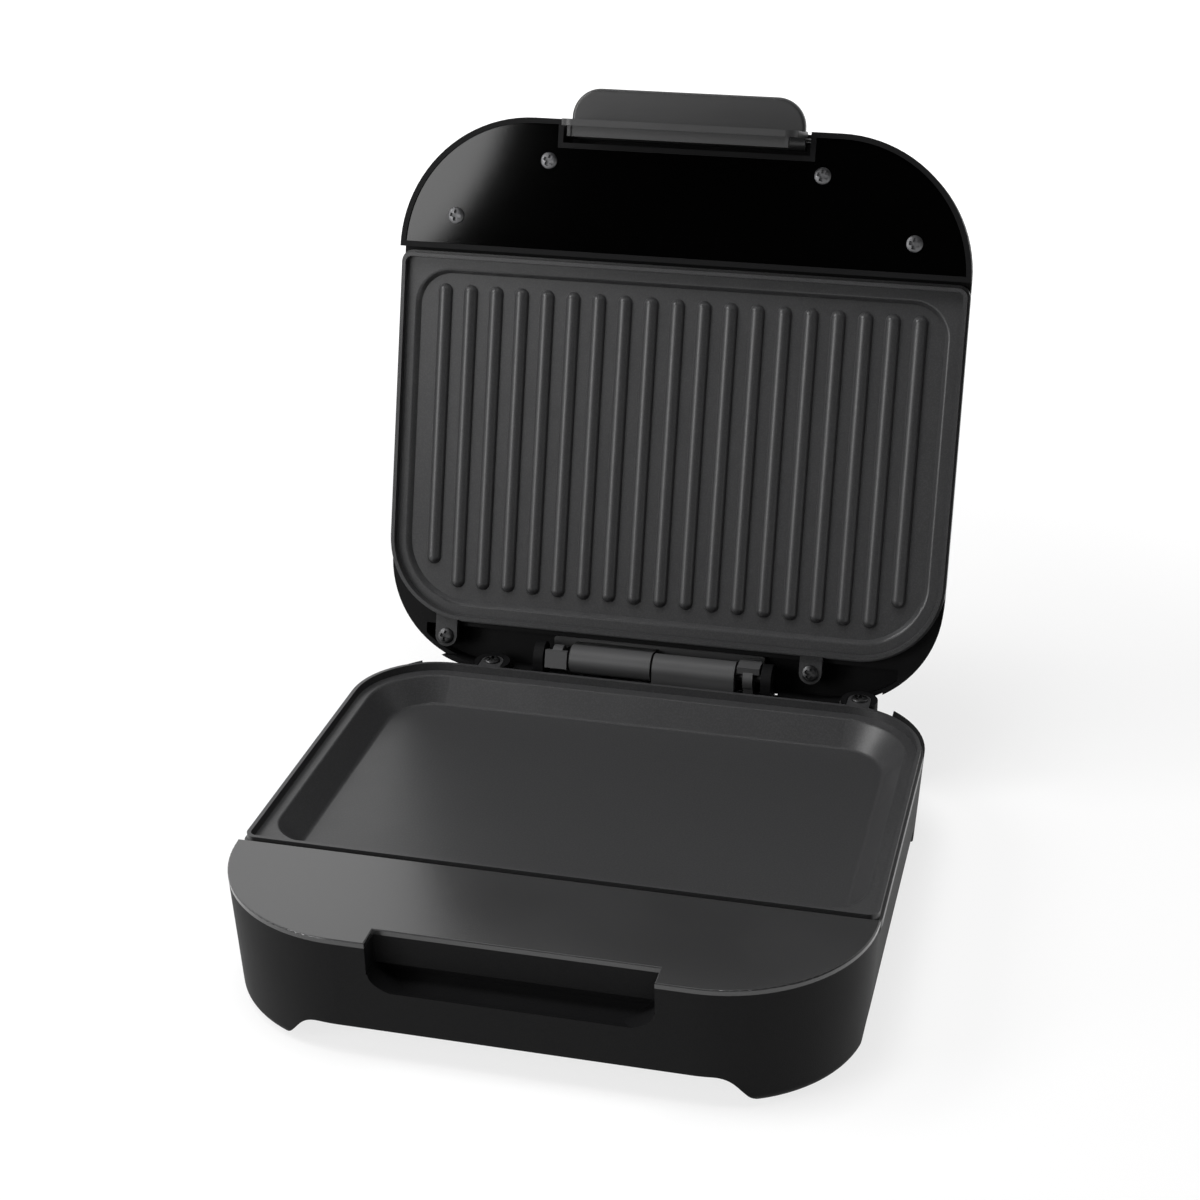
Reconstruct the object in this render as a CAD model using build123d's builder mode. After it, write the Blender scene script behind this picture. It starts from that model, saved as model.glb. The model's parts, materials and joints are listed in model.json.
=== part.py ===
from build123d import *
from math import hypot, radians, sin, tan
import os

os.makedirs("parts", exist_ok=True)

# Sandwich maker: two plastic cases joined by an interleaved hinge, each with a cast plate.
# Millimetres. X runs along the hinge, +Y to the hinge side, +Z up, and the table is z = 0.
# Every piece is drawn with the lid shut and y = 0 at the middle of the plates. The last
# section swings the lid open to its stop and centres the footprint on the origin.

# Cases
case_width = 252.0
deck_depth = 60.15
rear_depth = 21.15
front_corner = 59.0
rear_corner = 48.0
wall = 2.5
draft = 3.5
rim_height = 52.5
lid_height = 38.0
lid_gap = 0.8
lid_edge_radius = 12.0
seat_gap = 0.1

# Feet and skirt of the base
pad_proud = 1.0
pad_radius = 5.0
pad_recess = 3.0
skirt_height = 13.5
foot_round = 4.0
foot_length_x = 30.5
foot_length_y = 42.0
arch_slope_x = 21.0
arch_slope_y = 17.0

# Grip notch, latch lip and finger scoop
notch_width = 108.0
notch_depth = 10.0
lip_height = 14.0
scoop_fall = 5.5
scoop_back = 4.5
scoop_rise = 18.0
lid_notch_height = 15.0

# Front decks
deck_thickness = 2.2
lid_lip = 2.3
lid_deck_recess = 0.8
deck_gap = 1.5
outer_screw_inset = 25.0
outer_screw_back = 44.0
inner_screw_gap = 6.0
inner_screw_back = 18.0

# Cast plates
plate_depth = 165.7
plate_front_radius = 5.5
plate_rear_radius = 37.0
plate_skirt = 6.5
flange_drop = 3.2
flange_width = 1.1
rim_width = 1.6
rim_step = 3.4
shelf_width = 5.0
casting = 3.0
tray_depth = 13.8
tray_slope = 40.0
tray_front_radius = 16.0
tray_round = 2.5
brow_round = 1.5
field_depth = 5.4
rib_count = 19
rib_width = 6.6
rib_height = 2.6
rib_side_margin = 12.6
rib_front_margin = 13.85
rib_rear_margin = 14.85
end_rib_short = 10.0
lug_width = 10.0
lug_drop = 2.0
lug_cup_wall = 3.0
lower_lug_reach = 8.5
upper_lug_reach = 7.0
lower_lug_insets = (51.9, 33.0)
upper_lug_insets = (55.9, 28.7)

# Hinge
hinge_back = 94.2
hinge_rise = 1.9
open_angle = 105.2
barrel_radius = 6.25
pin_radius = 2.0
pin_clearance = 0.05
knuckle_gap = 0.5
long_knuckle = 37.0
short_knuckle = 10.0
cheek_width = 4.5
leaf_thickness = 3.0
leaf_depth = 12.4
web_width = 4.4
bar_depth = 8.0
bar_thickness = 3.0
rest_gap = 0.48
rear_drop = 10.4
rear_shoulder = 18.0
shelf_start = 2.6
rear_lip = 2.6
lip_thickness = 2.0

# Latch
latch_side_gap = 3.0
toe_inset = 3.5
tab_reach = 13.7
tab_thickness = 3.5
tab_corner = 13.0
latch_wall = 2.8
latch_pivot_back = 4.0
latch_pivot_rise = 8.0
latch_barrel = 4.2
toe_length = 4.4
toe_thickness = 2.4
toe_setback = 1.4
toe_clearance = 1.6
toe_rib = 1.5
bend_radius = 1.5
leg_corner = 5.0

# Heating parts and wiring
element_radius = 3.2
element_corner = 14.0
element_tail = 20.0
strap_length = 26.0
strap_width = 8.0
strap_thickness = 1.2
strap_post_radius = 3.0
reflector_corner = 18.0
sheet = 0.8
thermostat_radius = 7.5
thermostat_height = 5.0
fuse_radius = 2.0
fuse_length = 14.0
fuse_x = 36.0
cover_thickness = 2.5
post_radius = 4.0
screw_radius = 1.5
pilot_gap = 0.05
shank_gap = 0.2
head_radius = 3.6
small_head_radius = 2.6
head_height = 1.6
inlet_x = 60.0
inlet_height = 24.0
inlet_radius = 3.6
inlet_collar = 7.5

# Values that follow from the ones above
plate_width = case_width
case_front = plate_depth / 2 + deck_depth
case_back = plate_depth / 2 + rear_depth
case_depth = case_front + case_back
case_middle = (case_back - case_front) / 2
hinge_z = rim_height + hinge_rise
seat_z = rim_height - plate_skirt
shelf_z = rim_height - rear_drop
leaf_drop = hinge_z - shelf_z
inside = wall + (rim_height - skirt_height) * tan(radians(draft))
deck_rear = -plate_depth / 2 - deck_gap
rear_front = plate_depth / 2 + shelf_start
notch_rear = notch_depth - case_front
rim_inset = flange_width + rim_width
tray_inset = rim_inset + shelf_width
pocket_inset = tray_inset - casting + 0.5
tray_under = tray_depth + casting
field_under = field_depth + casting
rib_pitch = (plate_width - 2 * (tray_inset + rib_side_margin)) / (rib_count - 1)
rib_radius = (rib_width ** 2 / 4 + rib_height ** 2) / (2 * rib_height)
rib_sunk = rib_radius - rib_height
rib_front = rib_front_margin - plate_depth / 2
rib_rear = plate_depth / 2 - rib_rear_margin
strap_reach = strap_length / 2 - strap_post_radius - 1.0
element_half_x = plate_width / 2 - 46.0
element_half_y = plate_depth / 2 - 37.0
reflector_width = plate_width - 46.0
reflector_depth = plate_depth - 37.5
lower_lugs = [
    (lower_lug_insets[0] - plate_width / 2, lower_lug_reach),
    (plate_width / 2 - lower_lug_insets[1], lower_lug_reach),
]
upper_lugs = [
    (upper_lug_insets[0] - plate_width / 2, upper_lug_reach),
    (plate_width / 2 - upper_lug_insets[1], upper_lug_reach),
]
latch_width = notch_width - 2 * latch_side_gap
toe_width = latch_width - 2 * toe_inset
rear_opening = case_width - 2 * rear_shoulder
rest_height = leaf_drop - leaf_thickness - hypot(bar_depth / 2, barrel_radius) - rest_gap
deck_screws = [
    (side * screw_x, screw_y - case_front)
    for screw_x, screw_y in (
        (case_width / 2 - outer_screw_inset, outer_screw_back),
        (notch_width / 2 + inner_screw_gap, inner_screw_back),
    )
    for side in (-1, 1)
]

# The two cooking faces. The lid's is the base's turned over about the Y axis, so that +Z
# on either plane points out of its plate and one drawing serves both.
base_face = Plane.XY.offset(rim_height)
lid_face = Plane(origin=(0, 0, rim_height + lid_gap), x_dir=(-1, 0, 0), z_dir=(0, 0, -1))


def case_outline(inset=0.0):
    """Plan of both cases, moved in by inset."""
    with BuildSketch() as outline:
        with Locations((0, case_middle)):
            Rectangle(case_width - 2 * inset, case_depth - 2 * inset)
        fillet(outline.vertices().group_by(Axis.Y)[0], front_corner - inset)
        fillet(outline.vertices().group_by(Axis.Y)[-1], rear_corner - inset)
    return outline.sketch


def case_band(inset, front, rear):
    """The part of the case's plan between two Y values."""
    with BuildSketch() as band:
        add(case_outline(inset))
        with Locations((0, (front + rear) / 2)):
            Rectangle(case_width, rear - front, mode=Mode.INTERSECT)
    return band.sketch


def notch_outline(margin=0.0):
    """Plan of the grip notch in the middle of the front edge, grown by margin."""
    with BuildSketch() as notch:
        with Locations((0, -case_front - notch_depth)):
            Rectangle(
                notch_width + 2 * margin,
                2 * notch_depth + margin,
                align=(Align.CENTER, Align.MIN),
            )
    return notch.sketch


def plate_outline(inset=0.0, front_radius=None):
    """Plan of a plate, moved in by inset, with tight front corners and round rear ones."""
    front = max(plate_front_radius - inset, 0.6) if front_radius is None else front_radius
    with BuildSketch() as outline:
        Rectangle(plate_width - 2 * inset, plate_depth - 2 * inset)
        fillet(outline.vertices().group_by(Axis.Y)[0], front)
        fillet(outline.vertices().group_by(Axis.Y)[-1], plate_rear_radius - inset)
    return outline.sketch


def corner_blocks(clearance=0.0):
    """Plan of the four foot corners, used for the feet and for the cover that clears them."""
    block_x = foot_length_x + arch_slope_x / 2 + clearance
    block_y = foot_length_y + clearance
    with BuildSketch() as blocks:
        with Locations((0, case_middle)):
            with GridLocations(case_width, case_depth, 2, 2):
                Rectangle(2 * block_x, 2 * block_y)
    return blocks.sketch


def lug_centres(lugs):
    """Centres of a plate's two lugs, from their X and their reach behind the plate."""
    return [(x, plate_depth / 2 + reach) for x, reach in lugs]


# Finger scoop: the space under the latch lip that base_housing is cut by. Its floor is an
# arc that runs out through the front wall, and its two ends rise in quarter ellipses.
lip_bottom = rim_height - lip_height
scoop_mouth = -case_front - 6.0
scoop_end = notch_rear + scoop_back
scoop_drop = 1.6 * scoop_fall
scoop_half = notch_width / 2 - 0.5
scoop_flat = scoop_half - scoop_rise
with BuildPart() as scoop:
    with BuildSketch(Plane.YZ):
        with BuildLine():
            Polyline(
                (scoop_mouth, lip_bottom),
                (scoop_mouth, lip_bottom + 1.0),
                (notch_rear, lip_bottom + 1.0),
                (notch_rear, lip_bottom),
                (scoop_end, lip_bottom),
                (scoop_end, lip_bottom - scoop_fall),
            )
            ThreePointArc(
                (scoop_end, lip_bottom - scoop_fall),
                (notch_rear - 3.0, lip_bottom - 1.5 * scoop_fall),
                (scoop_mouth, lip_bottom),
            )
        make_face()
    extrude(amount=scoop_half, both=True)
    with BuildSketch(Plane.XZ):
        with BuildLine():
            Polyline(
                (-scoop_half, lip_bottom),
                (-scoop_half, lip_bottom + 2.0),
                (scoop_half, lip_bottom + 2.0),
                (scoop_half, lip_bottom),
            )
            EllipticalCenterArc(
                (scoop_flat, lip_bottom), scoop_rise, scoop_drop, start_angle=270, arc_size=90
            )
            Line((scoop_flat, lip_bottom - scoop_drop), (-scoop_flat, lip_bottom - scoop_drop))
            EllipticalCenterArc(
                (-scoop_flat, lip_bottom), scoop_rise, scoop_drop, start_angle=180, arc_size=90
            )
        make_face()
    extrude(amount=case_depth, mode=Mode.INTERSECT)

# Base housing: the deep lower moulding with four corner feet. Its rim carries the plate,
# its front carries the deck, and its rear shelf carries the hinge and the plate's lugs.
cover_posts = [
    (side * post_x, post_y)
    for post_x, post_y in ((66.0, 41.0 - case_front), (62.0, case_back - 15.0))
    for side in (-1, 1)
]
front_ceiling = rim_height - deck_thickness - wall
middle_ceiling = seat_z - wall
rear_ceiling = shelf_z - wall
cover_top = skirt_height + 0.5 + cover_thickness
base_deck_screws_at = [(side * 78.0, 31.0 - case_front) for side in (-1, 1)]
cheek_inner = long_knuckle + short_knuckle + 2.5
lug_cup = lug_width / 2 + lug_cup_wall
cup_gap = 0.3
arch_half_x = case_width / 2 - foot_length_x
arch_half_y = case_depth / 2 - foot_length_y
pad_x = arch_half_x + pad_radius + 1.5
pad_y = arch_half_y + pad_radius + 1.5
foot_centres = [(x, case_middle + y) for x in (-pad_x, pad_x) for y in (-pad_y, pad_y)]
inlet_body = inlet_collar - 1.5
inlet_face = case_back - (rim_height - inlet_height + inlet_collar) * tan(radians(draft)) - 0.2
leaf_screws = [(-24.0, 1.6), (24.0, 1.6)]
leaf_points = [(x, hinge_back + y) for x, y in leaf_screws]
lip_ceiling = lip_bottom - scoop_drop - wall

with BuildPart() as base_housing:
    with BuildSketch(base_face):
        add(case_outline())
    extrude(amount=pad_proud - rim_height, taper=draft)
    fillet(base_housing.edges().group_by(Axis.Z)[0], foot_round)

    # Arches between the feet, front to back and side to side.
    for arch_plane, arch_half, arch_centre, arch_slope in (
        (Plane.XZ, arch_half_x, 0.0, arch_slope_x),
        (Plane.YZ, arch_half_y, case_middle, arch_slope_y),
    ):
        with BuildSketch(arch_plane):
            with BuildLine():
                left = arch_centre - arch_half
                right = arch_centre + arch_half
                Spline(
                    (left, pad_proud),
                    (left + arch_slope, skirt_height),
                    tangents=((1, 0), (1, 0)),
                )
                Line((left + arch_slope, skirt_height), (right - arch_slope, skirt_height))
                Spline(
                    (right - arch_slope, skirt_height),
                    (right, pad_proud),
                    tangents=((1, 0), (1, 0)),
                )
                Polyline((right, pad_proud), (right, 0), (left, 0), (left, pad_proud))
            make_face()
        extrude(amount=case_depth, both=True, mode=Mode.SUBTRACT)

    # Steps in the top: the deck's seat, the plate's seat and the low rear shelf.
    with BuildSketch(Plane.XY.offset(rim_height - deck_thickness)):
        Rectangle(2 * case_width, 2 * case_depth)
    extrude(amount=deck_thickness, mode=Mode.SUBTRACT)
    with BuildSketch(Plane.XY.offset(seat_z)):
        with Locations((0, deck_rear)):
            Rectangle(2 * case_width, 2 * case_depth, align=(Align.CENTER, Align.MIN))
    extrude(amount=plate_skirt, mode=Mode.SUBTRACT)
    with BuildSketch(Plane.XY.offset(shelf_z)):
        with Locations((0, rear_front)):
            Rectangle(rear_opening, case_depth, align=(Align.CENTER, Align.MIN))
    extrude(amount=rear_drop, mode=Mode.SUBTRACT)

    # Hollow inside, in zones that follow those steps.
    with BuildSketch(Plane.XY.offset(skirt_height)):
        add(case_band(inside, -case_front, case_back))
        add(corner_blocks(), mode=Mode.SUBTRACT)
    extrude(amount=cover_top - skirt_height, mode=Mode.SUBTRACT)
    with BuildSketch(Plane.XY.offset(cover_top)):
        add(case_band(inside, -case_front, deck_rear - wall))
    extrude(amount=lip_ceiling - cover_top, mode=Mode.SUBTRACT)
    with BuildSketch(Plane.XY.offset(lip_ceiling)):
        add(case_band(inside, -case_front, deck_rear - wall))
        add(notch_outline(scoop_back + wall), mode=Mode.SUBTRACT)
    extrude(amount=front_ceiling - lip_ceiling, mode=Mode.SUBTRACT)
    with BuildSketch(Plane.XY.offset(cover_top)):
        add(case_band(inside, deck_rear - wall, rear_front - wall))
    extrude(amount=middle_ceiling - cover_top, mode=Mode.SUBTRACT)
    with BuildSketch(Plane.XY.offset(cover_top)):
        add(case_band(inside, rear_front - wall, case_back))
    extrude(amount=rear_ceiling - cover_top, mode=Mode.SUBTRACT)

    # Opening for the plate's tray.
    with BuildSketch(Plane.XY.offset(middle_ceiling)):
        add(plate_outline(pocket_inset, 6.0))
    extrude(amount=2 * wall, mode=Mode.SUBTRACT)

    # Grip notch, with the latch lip at its back and the scoop under the lip.
    with BuildSketch(base_face):
        add(notch_outline())
    extrude(amount=-lip_height, mode=Mode.SUBTRACT)
    add(scoop.part, mode=Mode.SUBTRACT)

    # Cups that the plate's lugs lie in, and posts for the bottom cover's screws.
    with BuildSketch(Plane.XY.offset(shelf_z - wall)):
        with Locations(*lug_centres(lower_lugs)):
            Circle(lug_cup)
        with Locations((0, rear_front)):
            Rectangle(rear_opening, case_depth, align=(Align.CENTER, Align.MIN), mode=Mode.INTERSECT)
    extrude(amount=rim_height - lug_drop - shelf_z + wall)
    with BuildSketch(Plane.XY.offset(rim_height - lug_drop - casting)):
        with Locations(*lug_centres(lower_lugs)):
            Circle(lug_width / 2 + cup_gap)
            Rectangle(lug_width + 2 * cup_gap, 2 * lug_cup, align=(Align.CENTER, Align.MAX))
    extrude(amount=2 * casting, mode=Mode.SUBTRACT)
    with BuildSketch(Plane.XY.offset(cover_top)):
        with Locations(*cover_posts[:2]):
            Circle(post_radius)
    extrude(amount=front_ceiling - cover_top + 0.5)
    with BuildSketch(Plane.XY.offset(cover_top)):
        with Locations(*cover_posts[2:]):
            Circle(post_radius)
    extrude(amount=rear_ceiling - cover_top + 0.5)
    with BuildSketch(Plane.XY.offset(skirt_height)):
        with Locations(*cover_posts):
            Circle(screw_radius + pilot_gap)
    extrude(amount=cover_top - skirt_height + 9.0, mode=Mode.SUBTRACT)
    with BuildSketch(Plane.XY.offset(rim_height - lug_drop - casting)):
        with Locations(*lug_centres(lower_lugs)):
            Circle(screw_radius + pilot_gap)
    extrude(amount=-5.0, mode=Mode.SUBTRACT)
    with BuildSketch(Plane.XY.offset(shelf_z)):
        with Locations(*leaf_points):
            Circle(screw_radius + pilot_gap)
    extrude(amount=-2 * wall, mode=Mode.SUBTRACT)

    # Low lip behind the hinge, which hides the gap under the knuckles.
    with BuildSketch(Plane.XY.offset(shelf_z - 1.0)):
        with Locations((0, case_back - wall)):
            Rectangle(2 * cheek_inner, lip_thickness)
    extrude(amount=rear_lip + 1.0)

    # Cheeks that hold the ends of the hinge pin.
    for side in (-1, 1):
        with BuildSketch(Plane.YZ.offset(side * (cheek_inner + cheek_width / 2))):
            with Locations((hinge_back, hinge_z)):
                Circle(barrel_radius + 0.35)
                Rectangle(2 * barrel_radius + 0.7, leaf_drop + 1.0, align=(Align.CENTER, Align.MAX))
                Circle(pin_radius + pin_clearance, mode=Mode.SUBTRACT)
        extrude(amount=cheek_width / 2, both=True)

    # Round recesses for the foot pads, the cord inlet's hole and the deck's screw holes.
    with BuildSketch(Plane.XY.offset(pad_proud)):
        with Locations(*foot_centres):
            Circle(pad_radius + seat_gap)
    extrude(amount=pad_recess, mode=Mode.SUBTRACT)
    with BuildSketch(Plane.XZ.offset(-case_back)):
        with Locations((inlet_x, inlet_height)):
            Circle(inlet_body + seat_gap)
    extrude(amount=4 * wall, mode=Mode.SUBTRACT)
    with BuildSketch(Plane.XZ.offset(-inlet_face)):
        with Locations((inlet_x, inlet_height)):
            Circle(inlet_collar + seat_gap)
    extrude(amount=-2 * wall, mode=Mode.SUBTRACT)
    with BuildSketch(Plane.XY.offset(front_ceiling)):
        with Locations(*base_deck_screws_at):
            Circle(screw_radius + shank_gap)
    extrude(amount=2 * wall, mode=Mode.SUBTRACT)

# Base deck: the satin panel in front of the plate, held from below.
with BuildPart() as base_deck:
    with BuildSketch(base_face):
        add(case_outline())
    extrude(amount=-deck_thickness, taper=draft)
    with BuildSketch(Plane.XY.offset(rim_height - deck_thickness)):
        with Locations((0, deck_rear)):
            Rectangle(2 * case_width, 2 * case_depth, align=(Align.CENTER, Align.MIN))
        add(notch_outline())
    extrude(amount=deck_thickness, mode=Mode.SUBTRACT)
    fillet(base_deck.edges().group_by(Axis.Z)[-1], 0.5)
    with BuildSketch(Plane.XY.offset(rim_height - deck_thickness)):
        with Locations(*base_deck_screws_at):
            Circle(screw_radius + pilot_gap)
    extrude(amount=deck_thickness - 0.8, mode=Mode.SUBTRACT)


# Cooking plates: aluminium castings with a flange, a raised rim inside it, a shelf inside
# the rim and two screw lugs at the rear.
def plate_blank(face, under, lugs):
    """The outside of a plate down to the underside of its floor, with lugs, no cooking side."""
    with BuildPart() as blank:
        with BuildSketch(face.offset(-flange_drop)):
            add(plate_outline())
        extrude(amount=flange_drop - plate_skirt)
        with BuildSketch(face):
            add(plate_outline(flange_width))
        extrude(amount=-plate_skirt)
        with BuildSketch(face.offset(-plate_skirt)):
            add(plate_outline(pocket_inset, tray_front_radius))
        extrude(amount=plate_skirt - under, taper=tray_slope)
        for centre, (_, lug_reach) in zip(lug_centres(lugs), lugs):
            with BuildSketch(face.offset(-lug_drop)):
                with Locations(centre):
                    Circle(lug_width / 2)
                    Rectangle(lug_width, lug_reach + rim_inset, align=(Align.CENTER, Align.MAX))
                    Circle(screw_radius + shank_gap, mode=Mode.SUBTRACT)
            extrude(amount=-casting)
    return blank


def rim_recess(face):
    """The space inside a plate's rim, down to the shelf."""
    with BuildPart() as recess:
        with BuildSketch(face):
            add(plate_outline(rim_inset))
        extrude(amount=-rim_step, taper=draft)
    return recess


def strap_posts(face, under):
    """Stubs under a plate, one each side of the element, that its straps are screwed to."""
    with BuildPart() as posts:
        with BuildSketch(face.offset(-under)):
            with Locations((-element_half_x, 0), (element_half_x, 0)):
                with Locations((-strap_reach, 0), (strap_reach, 0)):
                    Circle(strap_post_radius)
        extrude(amount=-2 * element_radius)
    return posts


def face_at(piece, z):
    """The face of a piece that lies flat at height z."""
    return piece.faces().filter_by(Plane.XY).filter_by_position(Axis.Z, z - 0.01, z + 0.01)[0]


def half_round(length):
    """A rib along Y with ball ends, whose flat side is sunk rib_sunk into its plate."""
    with BuildPart() as rib:
        with BuildSketch(Plane.XY.offset(-rib_sunk)):
            SlotOverall(length, 2 * rib_radius, rotation=90)
            Rectangle(rib_radius, length, align=(Align.MIN, Align.CENTER), mode=Mode.INTERSECT)
        revolve(axis=Axis((0, 0, -rib_sunk), (0, -1, 0)), revolution_arc=180)
    return rib.part


with BuildPart() as lower_plate:
    add(plate_blank(base_face, tray_under, lower_lugs).part)
    add(rim_recess(base_face).part, mode=Mode.SUBTRACT)
    with BuildSketch(base_face.offset(-rim_step)):
        add(plate_outline(tray_inset, tray_front_radius))
    extrude(amount=rim_step - tray_depth, taper=tray_slope, mode=Mode.SUBTRACT)
    fillet(face_at(lower_plate, rim_height - tray_depth).outer_wire().edges(), tray_round)
    fillet(face_at(lower_plate, rim_height - rim_step).inner_wires()[0].edges(), brow_round)
    add(strap_posts(base_face, tray_under).part)

lid_rim_z = rim_height + lid_gap
with BuildPart() as upper_plate:
    add(plate_blank(lid_face, field_under, upper_lugs).part)
    add(rim_recess(lid_face).part, mode=Mode.SUBTRACT)
    with BuildSketch(lid_face.offset(-rim_step)):
        add(plate_outline(tray_inset, tray_front_radius))
    extrude(amount=rim_step - field_depth, taper=tray_slope, mode=Mode.SUBTRACT)
    fillet(face_at(upper_plate, lid_rim_z + rim_step).inner_wires()[0].edges(), brow_round)
    add(strap_posts(lid_face, field_under).part)
    # Ribs on the field. The two at the sides stop short of the round rear corners.
    for rib in range(rib_count):
        rear = rib_rear - end_rib_short if rib in (0, rib_count - 1) else rib_rear
        rib_x = (rib - (rib_count - 1) / 2) * rib_pitch
        rib_place = lid_face.offset(-field_depth).location * Location((rib_x, (rib_front + rear) / 2, 0))
        add(half_round(rear - rib_front).moved(rib_place))


# Bottom cover: a vented plate between the feet, with posts that carry the heat reflector.
stack = 2 * element_radius + 0.1 + strap_thickness + 1.0
reflector_gap = 0.3
lower_reflector_top = rim_height - tray_under - stack - reflector_gap
reflector_posts = [(x, y) for x in (-80.0, 80.0) for y in (-32.0, 32.0)]
with BuildPart() as bottom_cover:
    with BuildSketch(Plane.XY.offset(cover_top - cover_thickness)):
        add(case_outline(inside + 0.3))
        add(corner_blocks(0.3), mode=Mode.SUBTRACT)
        with GridLocations(90.0, 7.0, 2, 9):
            SlotOverall(56.0, 3.0, mode=Mode.SUBTRACT)
        with Locations(*cover_posts):
            Circle(screw_radius + shank_gap, mode=Mode.SUBTRACT)
    extrude(amount=cover_thickness)
    with BuildSketch(Plane.XY.offset(cover_top)):
        with Locations(*reflector_posts):
            Circle(post_radius)
    extrude(amount=lower_reflector_top - sheet - cover_top)

# Foot pads: rubber discs pressed into the feet.
with BuildPart() as foot_pads:
    with BuildSketch(Plane.XY):
        with Locations(*foot_centres):
            Circle(pad_radius)
    extrude(amount=pad_proud + pad_recess)
    fillet(foot_pads.edges().group_by(Axis.Z)[0], 0.6)


# Screws: a round head on the face, and a shank that runs back into the piece below.
def screws(face, points, length, head=head_radius):
    with BuildPart() as group:
        with BuildSketch(face):
            with Locations(*points):
                Circle(head)
        extrude(amount=head_height)
        fillet(group.edges().filter_by(GeomType.CIRCLE).filter_by(
            lambda edge: abs(face.to_local_coords(edge.center()).Z - head_height) < 0.01
        ), 0.5)
        with BuildSketch(face):
            with Locations(*points):
                Circle(screw_radius)
        extrude(amount=-length)
    return group


under_deck = Plane(origin=(0, 0, front_ceiling), x_dir=(-1, 0, 0), z_dir=(0, 0, -1))
under_cover = Plane(origin=(0, 0, cover_top - cover_thickness), x_dir=(-1, 0, 0), z_dir=(0, 0, -1))
base_deck_screws = screws(under_deck, base_deck_screws_at, wall + 1.2, small_head_radius)
bottom_cover_screws = screws(
    under_cover, [(-x, y) for x, y in cover_posts], cover_thickness + 7.0, small_head_radius
)
lower_plate_screws = screws(base_face.offset(-lug_drop), lug_centres(lower_lugs), casting + 4.0)
upper_plate_screws = screws(lid_face.offset(-lug_drop), lug_centres(upper_lugs), casting + 4.0)


# Heating parts under each plate: tubular element, straps, reflector, thermostat disc.
def heating_element(face, under):
    """A looped tube against the plate's underside, with both tails at the rear."""
    path_plane = face.offset(-under - element_radius - 0.05)
    tail = element_corner + 8.0
    rear = element_half_y + element_tail
    with BuildPart() as element:
        with BuildLine(path_plane):
            loop = FilletPolyline(
                (tail, rear),
                (tail, element_half_y),
                (element_half_x, element_half_y),
                (element_half_x, -element_half_y),
                (-element_half_x, -element_half_y),
                (-element_half_x, element_half_y),
                (-tail, element_half_y),
                (-tail, rear),
                radius=element_corner,
            )
        with BuildSketch(Plane(origin=loop @ 0, z_dir=loop % 0)):
            Circle(element_radius)
        sweep(path=loop)
    return element


def element_straps(face, under):
    """Steel straps across the element, with the heads of their screws."""
    with BuildPart() as straps:
        with BuildSketch(face.offset(-under - 2 * element_radius - 0.1)):
            with Locations((-element_half_x, 0), (element_half_x, 0)):
                RectangleRounded(strap_length, strap_width, 2.0)
        extrude(amount=-strap_thickness)
        with BuildSketch(face.offset(-under - 2 * element_radius - 0.1 - strap_thickness)):
            with Locations((-element_half_x, 0), (element_half_x, 0)):
                with Locations((-strap_reach, 0), (strap_reach, 0)):
                    Circle(strap_post_radius - 0.8)
        extrude(amount=-1.0)
    return straps


def reflector(face, under):
    """A sheet pan behind the element that throws the heat back at the plate."""
    depth = under + stack + reflector_gap
    with BuildPart() as pan:
        with BuildSketch(face.offset(-depth)):
            RectangleRounded(reflector_width, reflector_depth, reflector_corner)
        extrude(amount=-sheet)
        with BuildSketch(face.offset(-depth)):
            RectangleRounded(reflector_width, reflector_depth, reflector_corner)
            RectangleRounded(
                reflector_width - 2 * sheet,
                reflector_depth - 2 * sheet,
                reflector_corner - sheet,
                mode=Mode.SUBTRACT,
            )
        extrude(amount=2.0)
    return pan


def thermostat(face, under):
    """A bimetal disc thermostat against the middle of the plate, with two tabs."""
    with BuildPart() as disc:
        with BuildSketch(face.offset(-under)):
            Circle(thermostat_radius)
        extrude(amount=-thermostat_height)
        with BuildSketch(face.offset(-under - thermostat_height)):
            with Locations((-3.5, 0), (3.5, 0)):
                Rectangle(0.8, 5.0)
        extrude(amount=-2.5)
    return disc


lower_element = heating_element(base_face, tray_under)
lower_element_straps = element_straps(base_face, tray_under)
lower_reflector = reflector(base_face, tray_under)
lower_thermostat = thermostat(base_face, tray_under)
upper_element = heating_element(lid_face, field_under)
upper_element_straps = element_straps(lid_face, field_under)
upper_reflector = reflector(lid_face, field_under)
upper_thermostat = thermostat(lid_face, field_under)

# Thermal fuse: a small cartridge on the lower plate's underside.
with BuildPart() as thermal_fuse:
    with BuildSketch(Plane.YZ.offset(fuse_x)):
        with Locations((0, rim_height - tray_under - fuse_radius - 0.05)):
            Circle(fuse_radius)
    extrude(amount=fuse_length / 2, both=True)
    with BuildSketch(Plane.YZ.offset(fuse_x)):
        with Locations((0, rim_height - tray_under - fuse_radius - 0.05)):
            Circle(0.5)
    extrude(amount=fuse_length / 2 + 5.0, both=True)

# Terminal block on the bottom cover, where the cord's leads end.
block_x = 20.0
block_y = 91.0
with BuildPart() as terminal_block:
    with BuildSketch(Plane.XY.offset(cover_top)):
        with Locations((block_x, block_y)):
            RectangleRounded(36.0, 10.0, 1.5)
    extrude(amount=11.0)
    with BuildSketch(Plane.XY.offset(cover_top + 11.0)):
        with Locations((block_x, block_y)):
            with GridLocations(11.0, 0, 3, 1):
                Circle(3.0)
    extrude(amount=-4.0, mode=Mode.SUBTRACT)

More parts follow.
